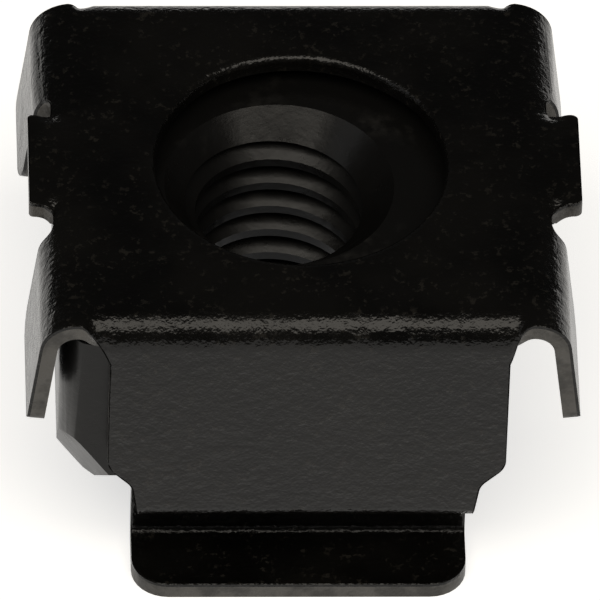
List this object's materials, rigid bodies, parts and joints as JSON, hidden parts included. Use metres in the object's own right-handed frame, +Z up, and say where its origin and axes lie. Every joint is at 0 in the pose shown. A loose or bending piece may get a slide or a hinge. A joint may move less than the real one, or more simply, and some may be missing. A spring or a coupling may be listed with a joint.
{
  "type": "rack cage nut",
  "caption": "Square nut held loosely in a folded black spring-steel cage whose lips snap into a rack's square hole.",
  "frame": {"origin": "middle of the underside of the lips, on the surface that the cage stands on", "axes": "+Z up along the hole, from the lips to the plate; the lips point along -Y and +Y and the flanges along -X and +X"},
  "size_m": [0.0134, 0.013, 0.0085],
  "materials": {
    "cage_black": "glossy",
    "nut_black": "semi-gloss"
  },
  "bodies": {
    "root": {"cage": "cage_black", "nut": "nut_black"}
  },
  "joints": []
}
